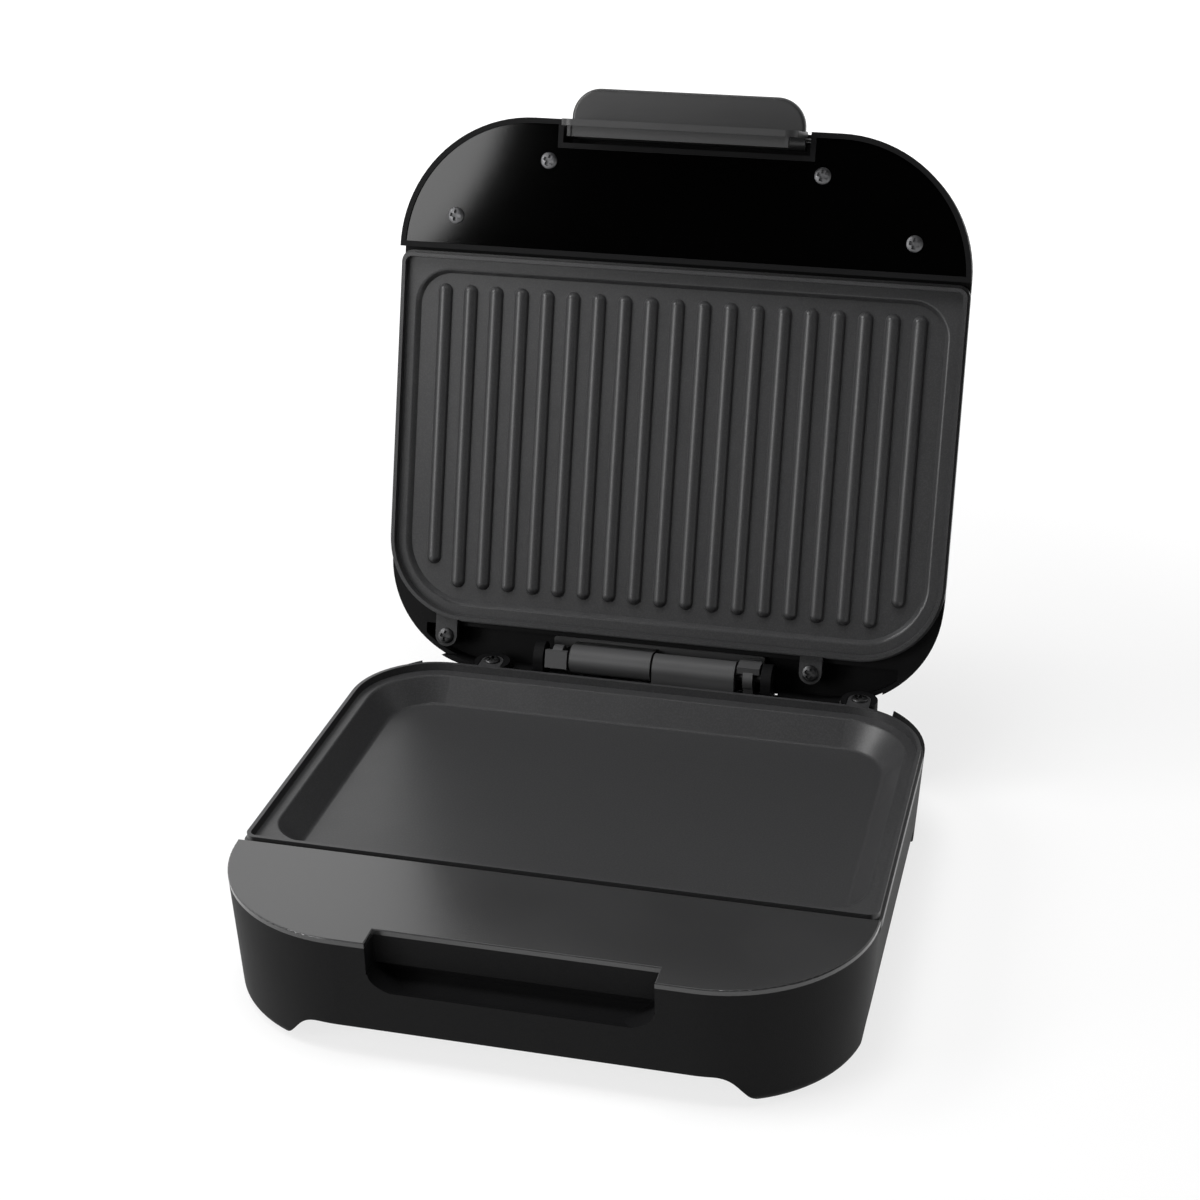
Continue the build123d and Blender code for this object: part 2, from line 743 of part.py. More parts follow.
# Cord bushing: the collar in the rear wall that the supply cord passes through.
bushing_rear = inlet_face + 2.0
bushing_front = case_back - inside - 2.0
with BuildPart() as cord_bushing:
    with BuildSketch(Plane.XZ.offset(-bushing_rear)):
        with Locations((inlet_x, inlet_height)):
            Circle(inlet_collar)
    extrude(amount=2.0)
    with BuildSketch(Plane.XZ.offset(-inlet_face)):
        with Locations((inlet_x, inlet_height)):
            Circle(inlet_body)
    extrude(amount=inlet_face - bushing_front)
    with BuildSketch(Plane.XZ.offset(-bushing_front - 1.8)):
        with Locations((inlet_x, inlet_height)):
            Circle(inlet_collar - 0.5)
    extrude(amount=1.8)
    with BuildSketch(Plane.XZ.offset(-bushing_rear)):
        with Locations((inlet_x, inlet_height)):
            Circle(inlet_radius)
    extrude(amount=bushing_rear, mode=Mode.SUBTRACT)

# Hinge leaf, drawn about the pin's axis: a plate with screw holes, a long knuckle, a short
# T-shaped one beside it and a low block at the other end. The same moulding serves the lid.
leaf_half = long_knuckle + short_knuckle + 1.5
end_middle = leaf_half - short_knuckle / 2
with BuildPart() as hinge_leaf:
    with BuildSketch(Plane.XY.offset(-leaf_drop)):
        with Locations((0, -1.6)):
            RectangleRounded(2 * leaf_half, leaf_depth, 1.5)
        with Locations(*leaf_screws):
            Circle(screw_radius + shank_gap, mode=Mode.SUBTRACT)
    extrude(amount=leaf_thickness)
    with BuildSketch(Plane.YZ.offset(knuckle_gap)):
        Circle(barrel_radius)
        with Locations((-barrel_radius, 0)):
            Rectangle(leaf_thickness, leaf_drop, align=(Align.MIN, Align.MAX))
    extrude(amount=long_knuckle)
    with BuildSketch(Plane.YZ.offset(end_middle)):
        Circle(barrel_radius - 0.6)
        Rectangle(bar_depth - 1.0, leaf_drop, align=(Align.CENTER, Align.MAX))
    extrude(amount=web_width / 2, both=True)
    with BuildSketch(Plane.XY.offset(barrel_radius)):
        with Locations((end_middle, 0)):
            Rectangle(short_knuckle, bar_depth)
    extrude(amount=-bar_thickness)
    with BuildSketch(Plane.XY.offset(leaf_thickness - leaf_drop)):
        with Locations((-end_middle, -1.6)):
            Rectangle(short_knuckle, leaf_depth - 2.0)
    extrude(amount=rest_height)
    with BuildSketch(Plane.YZ):
        Circle(pin_radius + pin_clearance)
    extrude(amount=leaf_half, mode=Mode.SUBTRACT)

with BuildPart() as base_hinge_leaf:
    with Locations((0, hinge_back, hinge_z)):
        add(hinge_leaf.part)
with BuildPart() as lid_hinge_leaf:
    with Locations((0, hinge_back, hinge_z)):
        add(hinge_leaf.part, rotation=(0, 180, 0))

with BuildPart() as hinge_pin:
    with BuildSketch(Plane.YZ):
        with Locations((hinge_back, hinge_z)):
            Circle(pin_radius)
    extrude(amount=cheek_inner + cheek_width, both=True)

leaf_face = Plane.XY.offset(shelf_z + leaf_thickness)
lid_leaf_face = Plane(
    origin=(0, 0, hinge_z + leaf_drop - leaf_thickness), x_dir=(-1, 0, 0), z_dir=(0, 0, -1)
)
base_hinge_screws = screws(leaf_face, leaf_points, leaf_thickness + wall, small_head_radius)
lid_hinge_screws = screws(lid_leaf_face, leaf_points, leaf_thickness + wall, small_head_radius)

# Lid housing: the upper moulding, drawn from its own rim upwards. It mirrors the base's
# steps, has a raised lip round the gloss deck, and a window at the rear for the hinge.
lid_shelf = hinge_z + leaf_drop - lid_rim_z
lid_floor = lid_deck_recess + deck_thickness
lid_inside = wall + lid_height * tan(radians(draft))
lid_ceiling = lid_height - wall
upper_reflector_back = field_under + stack + reflector_gap + sheet
lug_pass = rear_drop
boss_length = 10.0
window_half = cheek_inner + cheek_width + 2.0
lens_points = [(-12.0, -104.0), (12.0, -104.0)]
lens_radius = 3.2

with BuildPart() as lid_cavity:
    with BuildSketch(lid_face.offset(-lid_floor - wall)):
        add(case_outline(lid_inside))
    extrude(amount=lid_floor + wall - lid_ceiling)
    fillet(lid_cavity.edges().group_by(Axis.Z)[-1], lid_edge_radius - wall)
    with BuildSketch(lid_face):
        with Locations((0, deck_rear - lid_lip - wall)):
            Rectangle(2 * case_width, 2 * case_depth, align=(Align.CENTER, Align.MIN))
    extrude(amount=-plate_skirt - wall, mode=Mode.SUBTRACT)
    with BuildSketch(lid_face):
        with Locations((0, rear_front - wall)):
            Rectangle(2 * case_width, case_depth, align=(Align.CENTER, Align.MIN))
    extrude(amount=-lid_shelf - wall, mode=Mode.SUBTRACT)
    with BuildSketch(lid_face):
        add(notch_outline(wall + 1.5))
    extrude(amount=-lid_notch_height - wall, mode=Mode.SUBTRACT)

with BuildPart() as lid_housing:
    with BuildSketch(lid_face):
        add(case_outline())
    extrude(amount=-lid_height, taper=draft)
    fillet(lid_housing.edges().group_by(Axis.Z)[-1], lid_edge_radius)
    add(lid_cavity.part, mode=Mode.SUBTRACT)

    # Seat for the plate's rim, and the opening for the back of the plate.
    with BuildSketch(lid_face):
        with Locations((0, deck_rear)):
            Rectangle(2 * case_width, 2 * case_depth, align=(Align.CENTER, Align.MIN))
        with Locations((0, case_back - 2 * wall)):
            Rectangle(rear_opening, case_depth, align=(Align.CENTER, Align.MIN), mode=Mode.SUBTRACT)
    extrude(amount=-plate_skirt, mode=Mode.SUBTRACT)
    with BuildSketch(lid_face):
        add(plate_outline(pocket_inset, 6.0))
    extrude(amount=-plate_skirt - 2 * wall, mode=Mode.SUBTRACT)

    # Rear pocket for the hinge and lugs, open to the back in the middle.
    with BuildSketch(lid_face):
        add(case_band(wall, rear_front, case_back))
        with Locations((0, case_back)):
            Rectangle(rear_opening, case_depth, mode=Mode.INTERSECT)
        with Locations((0, rear_front)):
            Rectangle(2 * window_half, case_depth, align=(Align.CENTER, Align.MIN))
    extrude(amount=-lid_shelf, mode=Mode.SUBTRACT)
    with BuildSketch(lid_face):
        with Locations((0, rear_front)):
            Rectangle(2 * case_width, case_depth, align=(Align.CENTER, Align.MIN))
    extrude(amount=-2.0, mode=Mode.SUBTRACT)
    with BuildSketch(lid_face):
        with Locations(*[(-x, case_back) for x, y in lug_centres(lower_lugs)]):
            Rectangle(2 * lug_cup + 2.0, 8 * wall)
    extrude(amount=-lug_pass, mode=Mode.SUBTRACT)

    # Recess for the gloss deck inside its lip, and the notch for the latch.
    with BuildSketch(lid_face):
        add(case_band(lid_lip, -case_front, deck_rear - lid_lip))
        add(notch_outline(lid_lip), mode=Mode.SUBTRACT)
    extrude(amount=-lid_floor, mode=Mode.SUBTRACT)
    with BuildSketch(lid_face):
        add(notch_outline())
    extrude(amount=-lid_notch_height, mode=Mode.SUBTRACT)

    # Bosses for the deck's screws and the plate's lugs, and posts behind the reflector.
    with BuildSketch(lid_face.offset(-lid_floor)):
        with Locations(*deck_screws):
            Circle(post_radius)
    extrude(amount=-boss_length)
    with BuildSketch(lid_face.offset(-lug_drop - casting)):
        with Locations(*lug_centres(upper_lugs)):
            Circle(lug_width / 2)
    extrude(amount=lug_drop + casting - lid_shelf - 0.5)
    with BuildSketch(lid_face.offset(-upper_reflector_back)):
        with Locations(*reflector_posts):
            Circle(post_radius)
    extrude(amount=upper_reflector_back - lid_ceiling - 0.5)

    # Holes: deck screws, lug screws, leaf screws, indicator lenses and latch pins.
    with BuildSketch(lid_face.offset(-lid_floor)):
        with Locations(*deck_screws):
            Circle(screw_radius + pilot_gap)
    extrude(amount=3.0 - boss_length, mode=Mode.SUBTRACT)
    with BuildSketch(lid_face.offset(-lug_drop - casting)):
        with Locations(*lug_centres(upper_lugs)):
            Circle(screw_radius + pilot_gap)
    extrude(amount=-6.0, mode=Mode.SUBTRACT)
    with BuildSketch(lid_face.offset(-lid_ceiling - 2 * wall)):
        with Locations(*lens_points):
            Circle(lens_radius + seat_gap)
    extrude(amount=3 * wall, mode=Mode.SUBTRACT)
    with BuildSketch(lid_face.offset(-lid_shelf)):
        with Locations(*leaf_points):
            Circle(screw_radius + pilot_gap)
    extrude(amount=-wall - 1.0, mode=Mode.SUBTRACT)

# Lid deck: the gloss panel inside the lip, with its four screws.
with BuildPart() as lid_deck:
    with BuildSketch(lid_face.offset(-lid_deck_recess)):
        add(case_band(lid_lip + seat_gap, -case_front, deck_rear - lid_lip - seat_gap))
        add(notch_outline(lid_lip + seat_gap), mode=Mode.SUBTRACT)
        with Locations(*deck_screws):
            Circle(screw_radius + shank_gap, mode=Mode.SUBTRACT)
    extrude(amount=-deck_thickness)
lid_deck_screws = screws(
    lid_face.offset(-lid_deck_recess), deck_screws, deck_thickness + boss_length - 4.0
)

# Indicator lenses in the lid's top, and the lamp holder under them.
lens_plane = Plane.XY.offset(lid_rim_z + lid_height)
with BuildPart() as power_lens:
    with BuildSketch(lens_plane):
        with Locations((-lens_points[0][0], lens_points[0][1])):
            Circle(lens_radius)
    extrude(amount=-wall - 1.0)
with BuildPart() as ready_lens:
    with BuildSketch(lens_plane):
        with Locations((-lens_points[1][0], lens_points[1][1])):
            Circle(lens_radius)
    extrude(amount=-wall - 1.0)
with BuildPart() as lamp_holder:
    with BuildSketch(lens_plane.offset(-wall - 1.0)):
        with Locations((0, lens_points[0][1])):
            RectangleRounded(40.0, 12.0, 3.0)
    extrude(amount=-1.6)
    with BuildSketch(lens_plane.offset(-wall - 2.6)):
        with Locations(*lens_points):
            Circle(2.5)
    extrude(amount=-5.0)

# Latch: a grip tab, a barrel on two pins and a leg whose toe hooks under the base's lip.
latch_y = latch_pivot_back - case_front
latch_z = lid_rim_z + latch_pivot_rise
leg_front = 0.2 - case_front
toe_top = lip_bottom - toe_clearance
leg_bottom = toe_top - toe_thickness - toe_setback
tab_bottom = lid_rim_z + 1.2
pin_hole = 1.3
with BuildPart() as latch_handle:
    with BuildSketch(Plane.YZ):
        with Locations((latch_y, latch_z)):
            Circle(latch_barrel)
        with Locations((leg_front, latch_z)):
            Rectangle(latch_wall, latch_z - leg_bottom, align=(Align.MIN, Align.MAX))
    extrude(amount=latch_width / 2, both=True)
    fillet(latch_handle.edges().filter_by(Axis.Y).group_by(Axis.Z)[0], leg_corner)
    with BuildSketch(Plane.XY.offset(tab_bottom)):
        with Locations((0, -case_front - tab_reach)):
            Rectangle(latch_width, tab_reach + latch_wall, align=(Align.CENTER, Align.MIN))
    extrude(amount=tab_thickness)
    fillet(latch_handle.edges().filter_by(Axis.Z).group_by(Axis.Y)[0], tab_corner - 0.5)
    bend = latch_handle.edges().filter_by(Axis.X).filter_by_position(
        Axis.Z, tab_bottom - 0.01, tab_bottom + 0.01
    ).sort_by(Axis.Y)[0]
    fillet(bend, bend_radius)
    with BuildSketch(Plane.YZ):
        with Locations((leg_front, toe_top)):
            Rectangle(latch_wall + toe_length, toe_thickness, align=(Align.MIN, Align.MAX))
    extrude(amount=toe_width / 2, both=True)
    with BuildSketch(Plane.XY.offset(toe_top - toe_thickness)):
        with GridLocations(toe_width - toe_rib, 0, 2, 1):
            with Locations((0, leg_front)):
                Rectangle(toe_rib, latch_wall + toe_length, align=(Align.CENTER, Align.MIN))
    extrude(amount=-toe_setback / 2)
    for side in (-1, 1):
        with BuildSketch(Plane.YZ.offset(side * latch_width / 2)):
            with Locations((latch_y, latch_z)):
                Circle(pin_hole)
        extrude(amount=-side * 6.0, mode=Mode.SUBTRACT)

with BuildPart() as latch_pins:
    for side in (-1, 1):
        with BuildSketch(Plane.YZ.offset(side * (latch_width / 2 - 5.0))):
            with Locations((latch_y, latch_z)):
                Circle(pin_hole - pin_clearance)
        extrude(amount=side * (5.0 + (notch_width - latch_width) / 2))

# The lid swings back about the hinge to its stop, and the footprint is centred.
base_pieces = {
    "base_housing": base_housing,
    "base_deck": base_deck,
    "base_deck_screws": base_deck_screws,
    "bottom_cover": bottom_cover,
    "bottom_cover_screws": bottom_cover_screws,
    "foot_pads": foot_pads,
    "lower_plate": lower_plate,
    "lower_plate_screws": lower_plate_screws,
    "lower_element": lower_element,
    "lower_element_straps": lower_element_straps,
    "lower_reflector": lower_reflector,
    "lower_thermostat": lower_thermostat,
    "thermal_fuse": thermal_fuse,
    "terminal_block": terminal_block,
    "cord_bushing": cord_bushing,
    "base_hinge_leaf": base_hinge_leaf,
    "base_hinge_screws": base_hinge_screws,
    "hinge_pin": hinge_pin,
}
lid_pieces = {
    "lid_housing": lid_housing,
    "lid_deck": lid_deck,
    "lid_deck_screws": lid_deck_screws,
    "upper_plate": upper_plate,
    "upper_plate_screws": upper_plate_screws,
    "upper_element": upper_element,
    "upper_element_straps": upper_element_straps,
    "upper_reflector": upper_reflector,
    "upper_thermostat": upper_thermostat,
    "power_lens": power_lens,
    "ready_lens": ready_lens,
    "lamp_holder": lamp_holder,
    "lid_hinge_leaf": lid_hinge_leaf,
    "lid_hinge_screws": lid_hinge_screws,
    "latch_pins": latch_pins,
    "latch_handle": latch_handle,
}
swing_open = (
    Location((0, hinge_back, hinge_z))
    * Location((0, 0, 0), (-open_angle, 0, 0))
    * Location((0, -hinge_back, -hinge_z))
)
open_rear = lid_housing.part.moved(swing_open).bounding_box().max.Y
stand = Location((0, (case_front - open_rear) / 2, 0))
print("footprint shift in y", round(stand.position.Y, 3))
print("hinge axis y, z", round(hinge_back + stand.position.Y, 3), round(hinge_z, 3))
for pieces, place in ((base_pieces, stand), (lid_pieces, stand * swing_open)):
    for name, piece in pieces.items():
        piece.part.label = name
        piece.part.move(place)
        export_step(piece.part, f"parts/{name}.step")
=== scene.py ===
import json
from math import cos, radians, sin

import bmesh
import bpy
from mathutils import Matrix, Vector


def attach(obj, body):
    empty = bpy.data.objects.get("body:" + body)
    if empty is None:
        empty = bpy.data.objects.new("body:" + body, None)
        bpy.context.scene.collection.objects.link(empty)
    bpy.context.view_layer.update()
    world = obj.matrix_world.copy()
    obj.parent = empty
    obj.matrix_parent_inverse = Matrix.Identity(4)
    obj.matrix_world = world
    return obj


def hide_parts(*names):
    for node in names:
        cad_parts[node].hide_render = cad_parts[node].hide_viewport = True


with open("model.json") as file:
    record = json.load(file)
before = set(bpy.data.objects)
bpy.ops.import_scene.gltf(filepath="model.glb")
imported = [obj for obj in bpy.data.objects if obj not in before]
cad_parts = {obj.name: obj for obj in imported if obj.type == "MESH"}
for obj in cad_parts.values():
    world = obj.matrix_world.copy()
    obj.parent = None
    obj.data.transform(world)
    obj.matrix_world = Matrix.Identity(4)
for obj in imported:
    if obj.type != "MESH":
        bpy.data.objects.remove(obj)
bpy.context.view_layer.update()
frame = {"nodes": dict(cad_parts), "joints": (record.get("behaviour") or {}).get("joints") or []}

nodes = frame["nodes"]

# Case mouldings: the base housing, the lid housing and the bottom cover.
# Injection-moulded polypropylene with a fine spark-eroded grain, near black, with a dull sheen.
# Four screws from below hold the cover to posts inside the base housing.


def node_of(tree, kind, values=(), **settings):
    """A new node in a tree, with its settings and the plain values of its inputs."""
    node = tree.nodes.new(kind)
    for name, setting in settings.items():
        setattr(node, name, setting)
    for name, value in values:
        node.inputs[name].default_value = value
    return node


def new_finish(name, worn_by, color, roughness, gloss_level=0.5):
    """A node material on the named CAD nodes, with its plain numbers on the shader itself."""
    material = bpy.data.materials.new(name)
    material.use_nodes = True
    shader = material.node_tree.nodes["Principled BSDF"]
    shader.inputs["Base Color"].default_value = (*color, 1.0)
    shader.inputs["Roughness"].default_value = roughness
    shader.inputs["Specular IOR Level"].default_value = gloss_level
    for node in worn_by:
        mesh = nodes[node].data
        mesh.materials.clear()
        mesh.materials.append(material)
    return material, shader


def cloud(material, scale, detail=3.0):
    """A noise pattern that is fixed to the piece, in cells of about 1 / scale metres."""
    tree = material.node_tree
    place = node_of(tree, "ShaderNodeTexCoord")
    pattern = node_of(tree, "ShaderNodeTexNoise", (("Scale", scale), ("Detail", detail)))
    tree.links.new(place.outputs["Object"], pattern.inputs["Vector"])
    return pattern.outputs["Fac"]


def spread(material, value, low, high, start=0.35, stop=0.65):
    """The pattern's value, brought to low where it is at start and to high at stop."""
    tree = material.node_tree
    limits = (("From Min", start), ("From Max", stop), ("To Min", low), ("To Max", high))
    ramp = node_of(tree, "ShaderNodeMapRange", limits)
    tree.links.new(value, ramp.inputs["Value"])
    return ramp.outputs["Result"]


def tint(material, shader, value, dark, light):
    """Base colour between dark and light, by the pattern's value."""
    tree = material.node_tree
    mix = node_of(tree, "ShaderNodeMix", data_type="RGBA")
    mix.inputs["A"].default_value = (*dark, 1.0)
    mix.inputs["B"].default_value = (*light, 1.0)
    tree.links.new(value, mix.inputs["Factor"])
    tree.links.new(mix.outputs["Result"], shader.inputs["Base Color"])


def relief(material, shader, value, depth):
    """Bump of the given depth in metres."""
    tree = material.node_tree
    bump = node_of(tree, "ShaderNodeBump", (("Strength", 1.0), ("Distance", depth)))
    tree.links.new(value, bump.inputs["Height"])
    tree.links.new(bump.outputs["Normal"], shader.inputs["Normal"])


def moulded(name, worn_by, color, grain_scale, grain_depth, roughness, gloss_level=0.5):
    """Moulded plastic with an even grain, a slightly uneven sheen and a faint cloudiness."""
    flow_scale, sheen_swing, tone_swing = 22.0, 0.04, 0.06
    material, shader = new_finish(name, worn_by, color, roughness, gloss_level)
    flow = cloud(material, flow_scale, 2.0)
    smoothest, roughest = roughness * (1.0 - sheen_swing), roughness * (1.0 + sheen_swing)
    sheen = spread(material, flow, smoothest, roughest)
    material.node_tree.links.new(sheen, shader.inputs["Roughness"])
    darker = tuple(channel * (1.0 - tone_swing) for channel in color)
    lighter = tuple(channel * (1.0 + tone_swing) for channel in color)
    tint(material, shader, spread(material, flow, 0.0, 1.0), darker, lighter)
    relief(material, shader, cloud(material, grain_scale, 1.0), grain_depth)


moulded(
    "case_plastic", ("base_housing", "lid_housing", "bottom_cover"), color=(0.006, 0.006, 0.0063),
    grain_scale=2600.0, grain_depth=0.00006, roughness=0.55, gloss_level=0.1,
)

# Front decks: the satin panel in front of the tray, and the gloss panel inside the lid's lip.
# Both are ABS moulded against a polished face.
# The base's deck is screwed from below, the lid's from its face.

moulded(
    "satin_black", ("base_deck",), color=(0.03, 0.03, 0.0305),
    grain_scale=3200.0, grain_depth=0.00001, roughness=0.2, gloss_level=0.75,
)
moulded(
    "gloss_black", ("lid_deck",), color=(0.0003, 0.0003, 0.0003),
    grain_scale=3200.0, grain_depth=0.000002, roughness=0.055, gloss_level=0.42,
)

# Cooking plates: aluminium castings under a charcoal non-stick coating with fine specks.
# Each hangs on two screws through the lugs behind its rim.

COATING_DARK = (0.031, 0.031, 0.032)
COATING_SPECK = (0.041, 0.041, 0.042)
COATING_SMOOTHEST = 0.33
COATING_ROUGHEST = 0.36
coating, coat = new_finish(
    "nonstick_coating", ("lower_plate", "upper_plate"),
    color=COATING_DARK, roughness=COATING_SMOOTHEST, gloss_level=0.42,
)
specks = spread(coating, cloud(coating, 1500.0, 2.0), 0.0, 1.0, start=0.45, stop=0.62)
tint(coating, coat, specks, COATING_DARK, COATING_SPECK)
sheen = spread(coating, cloud(coating, 60.0), COATING_SMOOTHEST, COATING_ROUGHEST)
coating.node_tree.links.new(sheen, coat.inputs["Roughness"])
relief(coating, coat, cloud(coating, 1800.0, 2.0), depth=0.00002)

# Screws: round heads with a cross recess, all made by one tree from their sizes.
# Zinc-plated in the lid's deck and under the base, blackened where they hold a plate or a leaf.

HEAD_HEIGHT = 0.0016
SHANK_RADIUS = 0.0015
RECESS_SPAN = 0.66
RECESS_WIDTH = 0.23
RECESS_DEPTH = 0.8
EDGE_SHARE = 0.34
FIRST_SEED = 3
SMOOTH_ANGLE = radians(32.0)


def cross_screw_tree():
    """Geometry Nodes: one screw, set at every point and turned by a fixed seed."""
    tree = bpy.data.node_groups.new("cross_screws", "GeometryNodeTree")
    sockets = (
        ("Places", "NodeSocketGeometry", None),
        ("Head Radius", "NodeSocketFloat", 0.003),
        ("Head Height", "NodeSocketFloat", HEAD_HEIGHT),
        ("Shank Radius", "NodeSocketFloat", SHANK_RADIUS),
        ("Shank Length", "NodeSocketFloat", 0.01),
        ("Recess Span", "NodeSocketFloat", RECESS_SPAN),
        ("Recess Width", "NodeSocketFloat", RECESS_WIDTH),
        ("Recess Depth", "NodeSocketFloat", RECESS_DEPTH),
        ("Axis", "NodeSocketVector", (0.0, 0.0, 1.0)),
        ("Seed", "NodeSocketInt", FIRST_SEED),
        ("Finish", "NodeSocketMaterial", None),
    )
    for name, kind, value in sockets:
        socket = tree.interface.new_socket(name, in_out="INPUT", socket_type=kind)
        if value is not None:
            socket.default_value = value
    tree.interface.new_socket("Screws", in_out="OUTPUT", socket_type="NodeSocketGeometry")
    given = node_of(tree, "NodeGroupInput").outputs
    link = tree.links.new

    def feed(socket, value):
        """A socket's link, or its plain value."""
        if isinstance(value, (int, float)):
            socket.default_value = value
        else:
            link(value, socket)

    def product(first, second):
        """first times second, either of them a socket or a number."""
        math = node_of(tree, "ShaderNodeMath", operation="MULTIPLY")
        feed(math.inputs[0], first)
        feed(math.inputs[1], second)
        return math.outputs["Value"]

    def vector(x, y, z):
        """A vector of three sockets or numbers."""
        combine = node_of(tree, "ShaderNodeCombineXYZ")
        for axis, value in zip("XYZ", (x, y, z)):
            feed(combine.inputs[axis], value)
        return combine.outputs["Vector"]

    def placed(geometry, at, size=None):
        """The geometry scaled by size and then moved to at."""
        transform = node_of(tree, "GeometryNodeTransform")
        link(geometry, transform.inputs["Geometry"])
        link(at, transform.inputs["Translation"])
        if size is not None:
            link(size, transform.inputs["Scale"])
        return transform.outputs["Geometry"]

    # Head: a low cylinder whose top is at the edge's height, with a dome on it.
    drum = node_of(tree, "GeometryNodeMeshCylinder", (("Vertices", 40),))
    link(given["Head Radius"], drum.inputs["Radius"])
    link(given["Head Height"], drum.inputs["Depth"])
    drum_at = vector(0.0, 0.0, product(given["Head Height"], EDGE_SHARE - 0.5))
    ball = node_of(
        tree, "GeometryNodeMeshUVSphere", (("Segments", 40), ("Rings", 20), ("Radius", 1.0))
    )
    dome = product(given["Head Height"], 1.0 - EDGE_SHARE)
    ball_size = vector(given["Head Radius"], given["Head Radius"], dome)
    ball_at = vector(0.0, 0.0, product(given["Head Height"], EDGE_SHARE))
    head = node_of(tree, "GeometryNodeMeshBoolean", operation="UNION", solver="EXACT")
    link(placed(drum.outputs["Mesh"], drum_at), head.inputs["Mesh 2"])
    link(placed(ball.outputs["Mesh"], ball_at, ball_size), head.inputs["Mesh 2"])

    # Recess: two crossed blades, and a block that takes away what is below the head's seat.
    block_share = 4.0
    recess = node_of(tree, "GeometryNodeMeshBoolean", operation="DIFFERENCE", solver="EXACT")
    link(head.outputs["Mesh"], recess.inputs["Mesh 1"])
    span = product(product(given["Head Radius"], given["Recess Span"]), 2.0)
    width = product(product(given["Head Radius"], given["Recess Width"]), 2.0)
    depth = product(product(given["Head Height"], given["Recess Depth"]), 2.0)
    blade_at = vector(0.0, 0.0, given["Head Height"])
    for length, breadth in ((span, width), (width, span)):
        blade = node_of(tree, "GeometryNodeMeshCube")
        link(vector(length, breadth, depth), blade.inputs["Size"])
        link(placed(blade.outputs["Mesh"], blade_at), recess.inputs["Mesh 2"])
    below = node_of(tree, "GeometryNodeMeshCube")
    block = product(given["Head Radius"], block_share)
    link(vector(block, block, block), below.inputs["Size"])
    below_at = vector(0.0, 0.0, product(block, -0.5))
    link(placed(below.outputs["Mesh"], below_at), recess.inputs["Mesh 2"])

    # Shank, from the head's seat back into the piece below.
    shank = node_of(tree, "GeometryNodeMeshCylinder", (("Vertices", 20),))
    link(given["Shank Radius"], shank.inputs["Radius"])
    link(given["Shank Length"], shank.inputs["Depth"])
    shank_at = vector(0.0, 0.0, product(given["Shank Length"], -0.5))
    whole = node_of(tree, "GeometryNodeJoinGeometry")
    link(recess.outputs["Mesh"], whole.inputs["Geometry"])
    link(placed(shank.outputs["Mesh"], shank_at), whole.inputs["Geometry"])

    # One at every point, its head along the axis, each turned by its own angle.
    upright = node_of(tree, "FunctionNodeAlignRotationToVector", axis="Z")
    link(given["Axis"], upright.inputs["Vector"])
    angle = node_of(tree, "FunctionNodeRandomValue", data_type="FLOAT")
    link(given["Seed"], angle.inputs["Seed"])
    angle_socket = next(socket for socket in angle.outputs if socket.enabled)
    spin = node_of(tree, "FunctionNodeAxisAngleToRotation", (("Axis", (0.0, 0.0, 1.0)),))
    link(product(angle_socket, radians(90.0)), spin.inputs["Angle"])
    turned = node_of(tree, "FunctionNodeRotateRotation", rotation_space="LOCAL")
    link(upright.outputs["Rotation"], turned.inputs["Rotation"])
    link(spin.outputs["Rotation"], turned.inputs["Rotate By"])
    copies = node_of(tree, "GeometryNodeInstanceOnPoints")
    link(given["Places"], copies.inputs["Points"])
    link(whole.outputs["Geometry"], copies.inputs["Instance"])
    link(turned.outputs["Rotation"], copies.inputs["Rotation"])
    real = node_of(tree, "GeometryNodeRealizeInstances")
    link(copies.outputs["Instances"], real.inputs["Geometry"])
    painted = node_of(tree, "GeometryNodeSetMaterial")
    link(real.outputs["Geometry"], painted.inputs["Geometry"])
    link(given["Finish"], painted.inputs["Material"])
    link(painted.outputs["Geometry"], node_of(tree, "NodeGroupOutput").inputs["Screws"])
    return tree


def screw_places(node, axis):
    """Each screw's seat in a CAD node of screws, with the head's radius and the shank's length."""
    weld_gap = 1e-6
    level_gap = 1e-5
    place_digits = 5
    shell = bmesh.new()
    shell.from_mesh(nodes[node].data)
    bmesh.ops.remove_doubles(shell, verts=shell.verts, dist=weld_gap)
    left, screws = set(shell.verts), []
    while left:
        island, fresh = set(), [left.pop()]
        while fresh:
            corner = fresh.pop()
            island.add(corner)
            near = {edge.other_vert(corner) for edge in corner.link_edges} & left
            left -= near
            fresh += near
        # Sorted, so that each run adds them up in the same order and gives the same mesh.
        points = sorted((corner.co.copy() for corner in island), key=tuple)
        along = [point.dot(axis) for point in points]
        across = [point - axis * height for point, height in zip(points, along)]
        tail = [point for point, height in zip(across, along) if height < min(along) + level_gap]
        centre = sum(tail, Vector()) / len(tail)
        place = centre + axis * (max(along) - HEAD_HEIGHT)
        radius = max((point - centre).length for point in across)
        length = max(along) - min(along) - HEAD_HEIGHT
        screws.append((place, radius, length))
    shell.free()
    screws.sort(key=lambda screw: [round(value, place_digits) for value in screw[0]])
    _, radius, length = screws[0]
    return [place for place, _, _ in screws], radius, length


screw_tree = cross_screw_tree()


